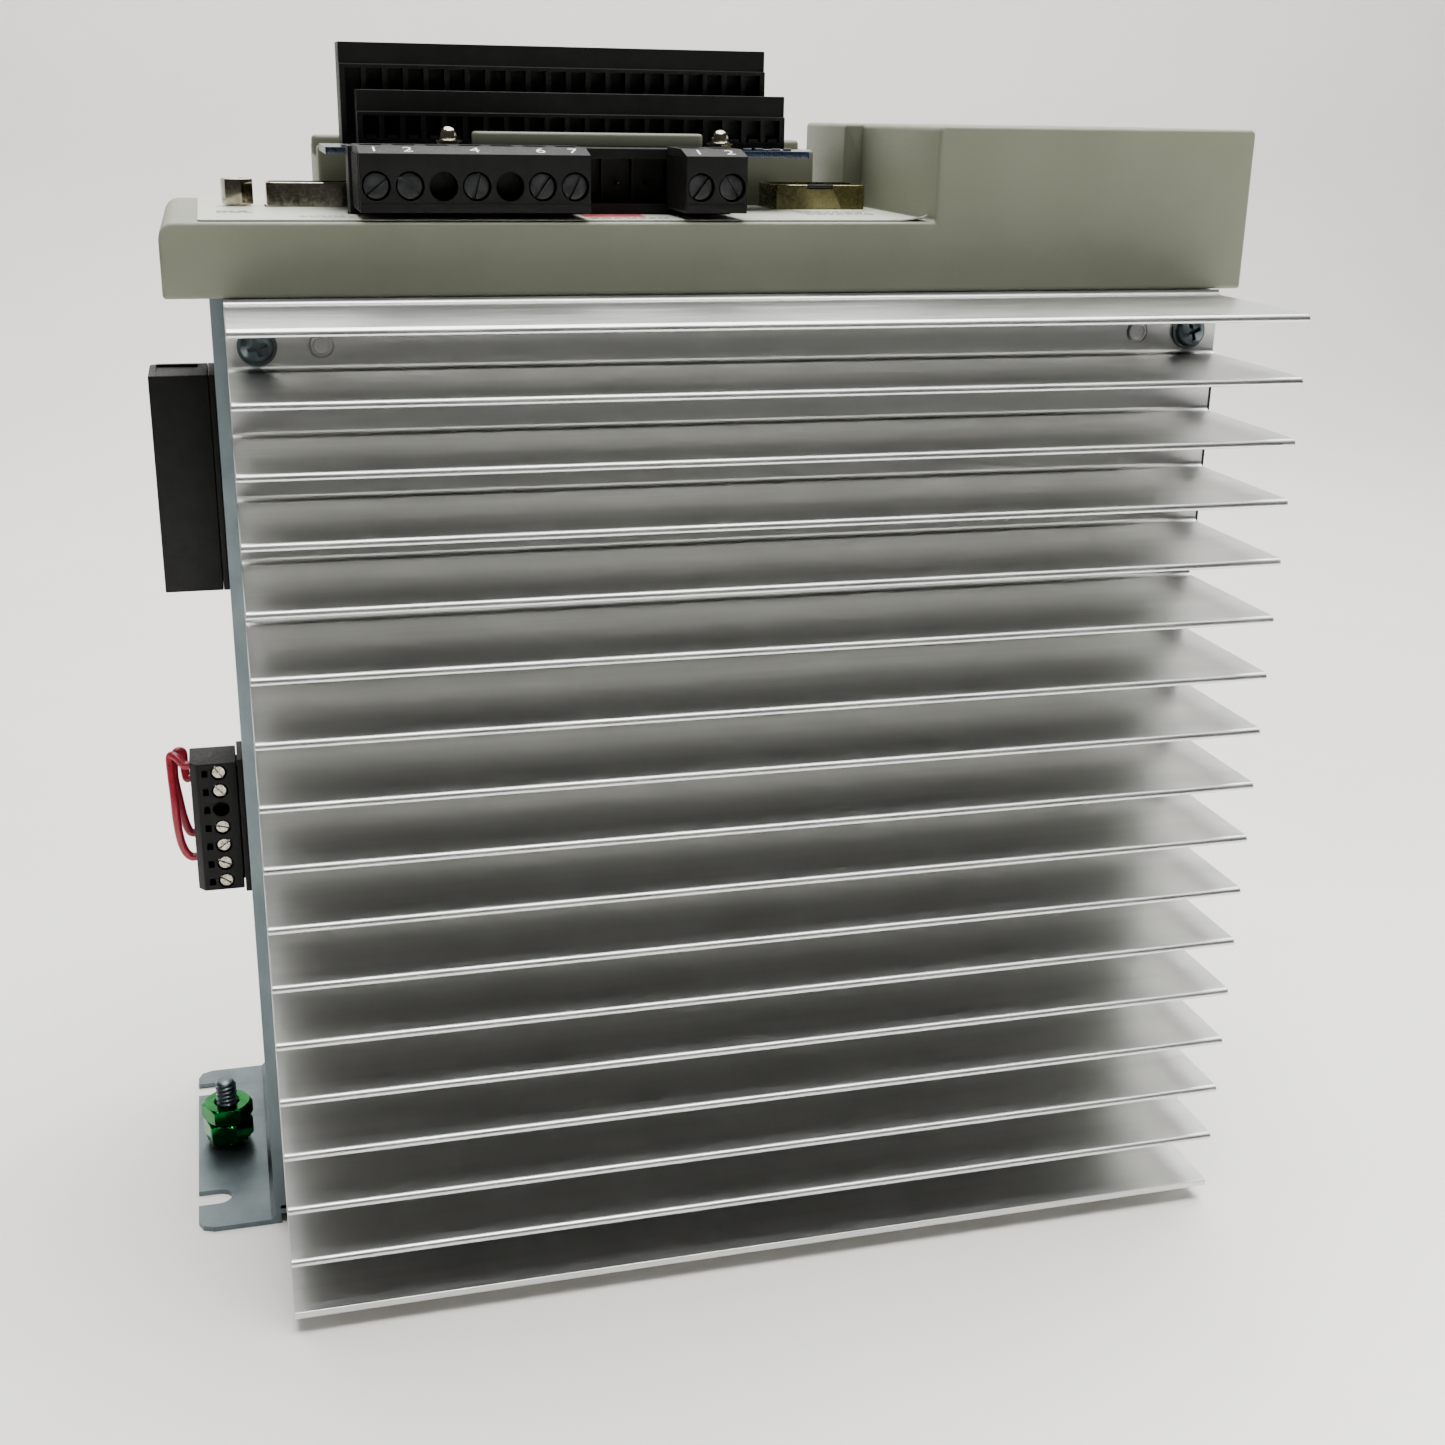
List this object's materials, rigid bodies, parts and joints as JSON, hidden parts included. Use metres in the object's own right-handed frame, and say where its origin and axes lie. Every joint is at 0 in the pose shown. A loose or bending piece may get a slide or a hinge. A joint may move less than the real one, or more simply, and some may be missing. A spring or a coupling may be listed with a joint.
{
  "type": "servo drive",
  "caption": "Panel-mounted servo drive: folded steel chassis with mounting ears, finned heatsink, moulded cover, pull-off terminal plugs and a plug-in option card.",
  "frame": {"origin": "middle of the bounding box in X and Y, on the rear face of the mounting ears", "axes": "+Z out of the drive's front, X along its height on the panel, heatsink fins towards -Y"},
  "size_m": [0.2946, 0.1354, 0.3042],
  "materials": {
    "zinc": "bright bluish zinc plating on steel sheet",
    "aluminium": "raw extruded aluminium, satin",
    "putty": "fine-grained putty-coloured moulded plastic",
    "black": "black moulded plastic",
    "screw": "plated steel screw",
    "dark_screw": "blackened steel screw",
    "nickel": "bright nickel plating",
    "green": "green passivated steel",
    "tin": "tinned shell with a yellow cast",
    "paper": "printed off-white film",
    "board_blue": "dark blue circuit board",
    "board_green": "green circuit board",
    "red": "red insulated wire",
    "grey": "grey module case",
    "blue": "blue capacitor sleeve",
    "copper": "enamelled copper winding"
  },
  "bodies": {
    "enclosure": {"chassis": "zinc", "side_panel": "zinc", "heatsink": "aluminium", "pressed_stud_left": "zinc", "pressed_stud_right": "zinc", "front_cover": "putty", "front_label": "paper", "power_header": "black", "port_shell": "nickel", "port_insert": "black", "jack_shell": "tin", "jack_insert": "black", "card_socket": "black", "relay_header": "black", "brake_header": "black", "signal_header": "black", "ground_stud": "zinc", "control_board": "board_green", "power_board": "board_green", "ribbon_cable": "grey", "power_module": "grey", "bridge_rectifier": "black", "bus_capacitor_1": "blue", "bus_capacitor_2": "blue", "filter_choke": "copper", "switching_transformer": "black"},
    "motor_plug": {"motor_plug": "black"},
    "bus_plug": {"bus_plug": "black"},
    "option_card": {"card_board": "board_blue", "card_connector": "putty", "card_plug": "nickel", "lower_terminal_strip": "black", "upper_terminal_strip": "black"},
    "signal_plug": {"signal_plug": "black", "jumper_wire_long": "red", "jumper_wire_short": "red"},
    "relay_plug": {"relay_plug": "black"},
    "brake_plug": {"brake_plug": "black"},
    "motor_screw_1": {"motor_screw_1": "dark_screw"},
    "motor_screw_2": {"motor_screw_2": "dark_screw"},
    "motor_screw_4": {"motor_screw_4": "dark_screw"},
    "motor_screw_6": {"motor_screw_6": "dark_screw"},
    "motor_screw_7": {"motor_screw_7": "dark_screw"},
    "bus_screw_1": {"bus_screw_1": "dark_screw"},
    "bus_screw_2": {"bus_screw_2": "dark_screw"},
    "signal_screw_1": {"signal_screw_1": "screw"},
    "signal_screw_2": {"signal_screw_2": "screw"},
    "signal_screw_4": {"signal_screw_4": "screw"},
    "signal_screw_5": {"signal_screw_5": "screw"},
    "signal_screw_6": {"signal_screw_6": "screw"},
    "signal_screw_7": {"signal_screw_7": "screw"},
    "port_post_left": {"port_post_left": "nickel"},
    "port_post_right": {"port_post_right": "nickel"},
    "card_screw_left": {"card_screw_left": "nickel"},
    "card_screw_right": {"card_screw_right": "nickel"},
    "ground_nut_lower": {"ground_nut_lower": "green"},
    "ground_nut_upper": {"ground_nut_upper": "green"},
    "heatsink_screw_left": {"heatsink_screw_left": "zinc"},
    "heatsink_screw_right": {"heatsink_screw_right": "zinc"}
  },
  "joints": [
    {"name": "motor_plug_pull", "type": "slide", "parent": "enclosure", "child": "motor_plug", "axis": [0, -1, 0], "range_m": [0, 0.012]},
    {"name": "bus_plug_pull", "type": "slide", "parent": "enclosure", "child": "bus_plug", "axis": [0, -1, 0], "range_m": [0, 0.012]},
    {"name": "option_card_lift", "type": "slide", "parent": "enclosure", "child": "option_card", "axis": [0, 0, 1], "range_m": [0, 0.012]},
    {"name": "signal_plug_pull", "type": "slide", "parent": "enclosure", "child": "signal_plug", "axis": [-1, 0, 0], "range_m": [0, 0.012]},
    {"name": "relay_plug_pull", "type": "slide", "parent": "enclosure", "child": "relay_plug", "axis": [-1, 0, 0], "range_m": [0, 0.012]},
    {"name": "brake_plug_pull", "type": "slide", "parent": "enclosure", "child": "brake_plug", "axis": [1, 0, 0], "range_m": [0, 0.012]},
    {"name": "motor_screw_1_turn", "type": "hinge", "parent": "motor_plug", "child": "motor_screw_1", "pos_m": [-0.08869, -0.02305, 0.2728], "axis": [0, -1, 0], "continuous": true},
    {"name": "motor_screw_2_turn", "type": "hinge", "parent": "motor_plug", "child": "motor_screw_2", "pos_m": [-0.08107, -0.02305, 0.2728], "axis": [0, -1, 0], "continuous": true},
    {"name": "motor_screw_4_turn", "type": "hinge", "parent": "motor_plug", "child": "motor_screw_4", "pos_m": [-0.06583, -0.02305, 0.2728], "axis": [0, -1, 0], "continuous": true},
    {"name": "motor_screw_6_turn", "type": "hinge", "parent": "motor_plug", "child": "motor_screw_6", "pos_m": [-0.05059, -0.02305, 0.2728], "axis": [0, -1, 0], "continuous": true},
    {"name": "motor_screw_7_turn", "type": "hinge", "parent": "motor_plug", "child": "motor_screw_7", "pos_m": [-0.04297, -0.02305, 0.2728], "axis": [0, -1, 0], "continuous": true},
    {"name": "bus_screw_1_turn", "type": "hinge", "parent": "bus_plug", "child": "bus_screw_1", "pos_m": [-0.01269, -0.02305, 0.2728], "axis": [0, -1, 0], "continuous": true},
    {"name": "bus_screw_2_turn", "type": "hinge", "parent": "bus_plug", "child": "bus_screw_2", "pos_m": [-0.00507, -0.02305, 0.2728], "axis": [0, -1, 0], "continuous": true},
    {"name": "signal_screw_1_turn", "type": "hinge", "parent": "signal_plug", "child": "signal_screw_1", "pos_m": [-0.1333, 0.00115, 0.12526], "axis": [0, -1, 0], "continuous": true},
    {"name": "signal_screw_2_turn", "type": "hinge", "parent": "signal_plug", "child": "signal_screw_2", "pos_m": [-0.1333, 0.00115, 0.12018], "axis": [0, -1, 0], "continuous": true},
    {"name": "signal_screw_4_turn", "type": "hinge", "parent": "signal_plug", "child": "signal_screw_4", "pos_m": [-0.1333, 0.00115, 0.11002], "axis": [0, -1, 0], "continuous": true},
    {"name": "signal_screw_5_turn", "type": "hinge", "parent": "signal_plug", "child": "signal_screw_5", "pos_m": [-0.1333, 0.00115, 0.10494], "axis": [0, -1, 0], "continuous": true},
    {"name": "signal_screw_6_turn", "type": "hinge", "parent": "signal_plug", "child": "signal_screw_6", "pos_m": [-0.1333, 0.00115, 0.09986], "axis": [0, -1, 0], "continuous": true},
    {"name": "signal_screw_7_turn", "type": "hinge", "parent": "signal_plug", "child": "signal_screw_7", "pos_m": [-0.1333, 0.00115, 0.09478], "axis": [0, -1, 0], "continuous": true},
    {"name": "port_post_left_turn", "type": "hinge", "parent": "enclosure", "child": "port_post_left", "pos_m": [-0.1186, 0.02695, 0.26565], "axis": [0, 0, 1], "continuous": true},
    {"name": "port_post_right_turn", "type": "hinge", "parent": "enclosure", "child": "port_post_right", "pos_m": [-0.051, 0.02695, 0.26565], "axis": [0, 0, 1], "continuous": true},
    {"name": "card_screw_left_turn", "type": "hinge", "parent": "option_card", "child": "card_screw_left", "pos_m": [-0.0682, 0.00865, 0.2805], "axis": [0, 0, 1], "continuous": true},
    {"name": "card_screw_right_turn", "type": "hinge", "parent": "option_card", "child": "card_screw_right", "pos_m": [0.0004, 0.00865, 0.2805], "axis": [0, 0, 1], "continuous": true},
    {"name": "ground_nut_lower_turn", "type": "hinge", "parent": "enclosure", "child": "ground_nut_lower", "pos_m": [-0.1385, 0.02595, 0.0026], "axis": [0, 0, 1], "continuous": true},
    {"name": "ground_nut_upper_turn", "type": "hinge", "parent": "enclosure", "child": "ground_nut_upper", "pos_m": [-0.1385, 0.02595, 0.0097], "axis": [0, 0, 1], "continuous": true},
    {"name": "heatsink_screw_left_turn", "type": "hinge", "parent": "enclosure", "child": "heatsink_screw_left", "pos_m": [-0.1172, -0.02425, 0.2375], "axis": [0, -1, 0], "continuous": true},
    {"name": "heatsink_screw_right_turn", "type": "hinge", "parent": "enclosure", "child": "heatsink_screw_right", "pos_m": [0.1189, -0.02425, 0.2375], "axis": [0, -1, 0], "continuous": true}
  ]
}
